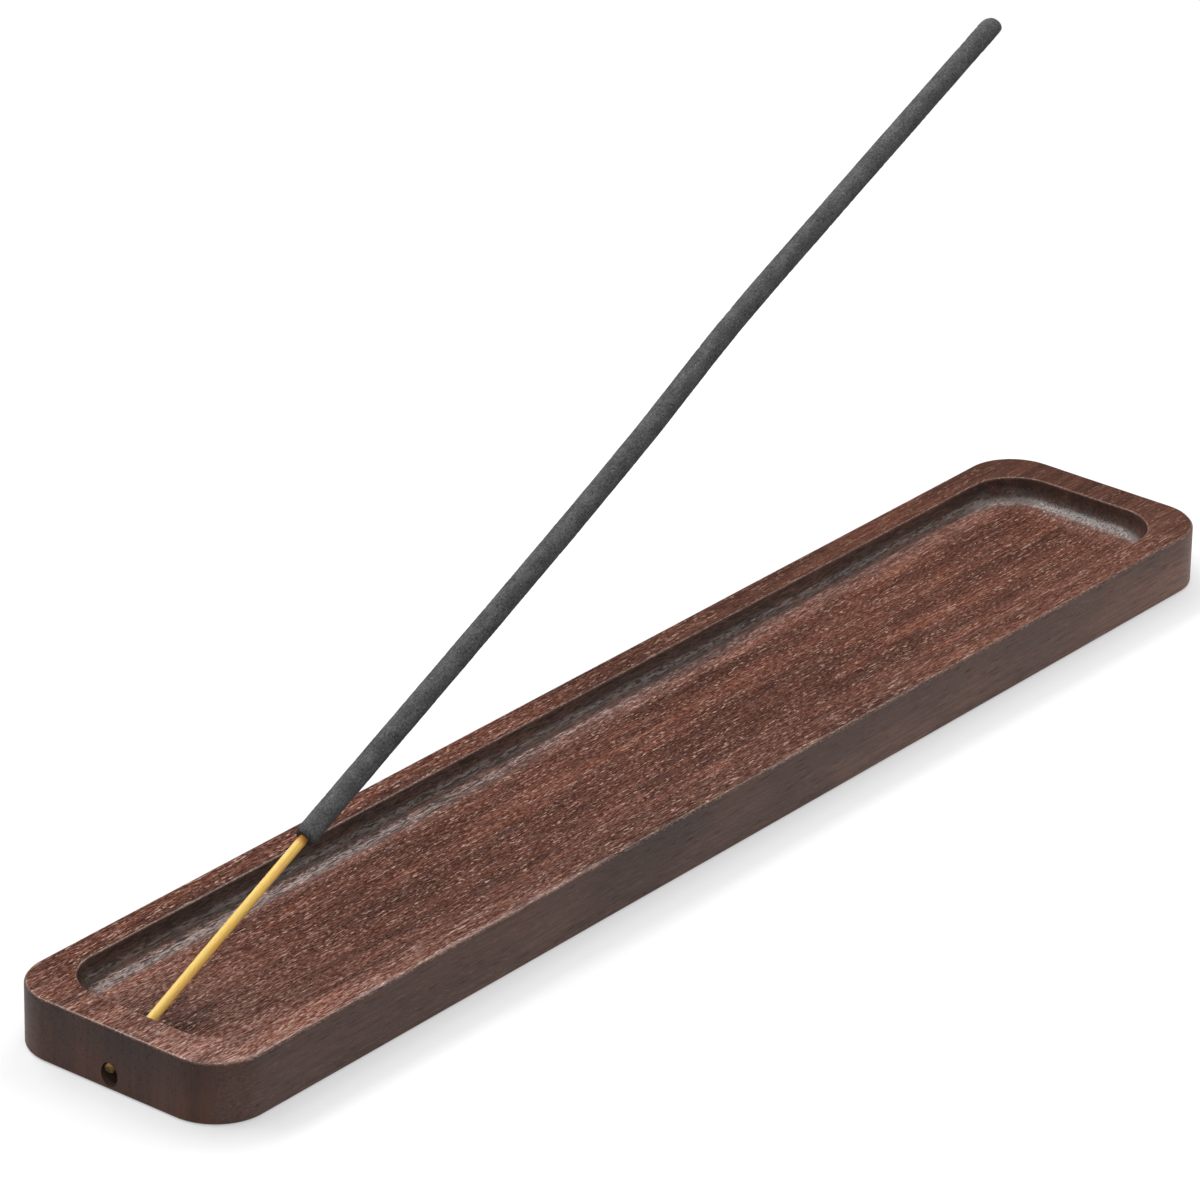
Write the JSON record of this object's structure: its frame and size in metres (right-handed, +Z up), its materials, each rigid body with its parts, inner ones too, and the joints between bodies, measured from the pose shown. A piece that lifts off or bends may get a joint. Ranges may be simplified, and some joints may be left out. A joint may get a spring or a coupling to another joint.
{
  "type": "incense stick holder",
  "caption": "Long low walnut tray with rounded corners and a coved ash trough; a charcoal incense stick on a bamboo core leans in its slanted end hole and pulls out.",
  "frame": {"origin": "middle of the tray's underside", "axes": "+Z up, +X along the tray from the end with the hole to the far end, +Y across the tray"},
  "size_m": [0.2355, 0.0408, 0.0998],
  "materials": {
    "walnut": "oiled, satin, open pores along the length",
    "bamboo": "split and rounded, smooth",
    "charcoal_paste": "dried charcoal and wood powder, matte and pitted"
  },
  "bodies": {
    "tray": {"tray": "walnut"},
    "stick": {"bamboo_splint": "bamboo", "incense_coat": "charcoal_paste"}
  },
  "joints": [
    {"name": "stick_draw", "type": "slide", "parent": "tray", "child": "stick", "axis": [0.9006, 0, 0.4346], "range_m": [0, 0.03]}
  ]
}
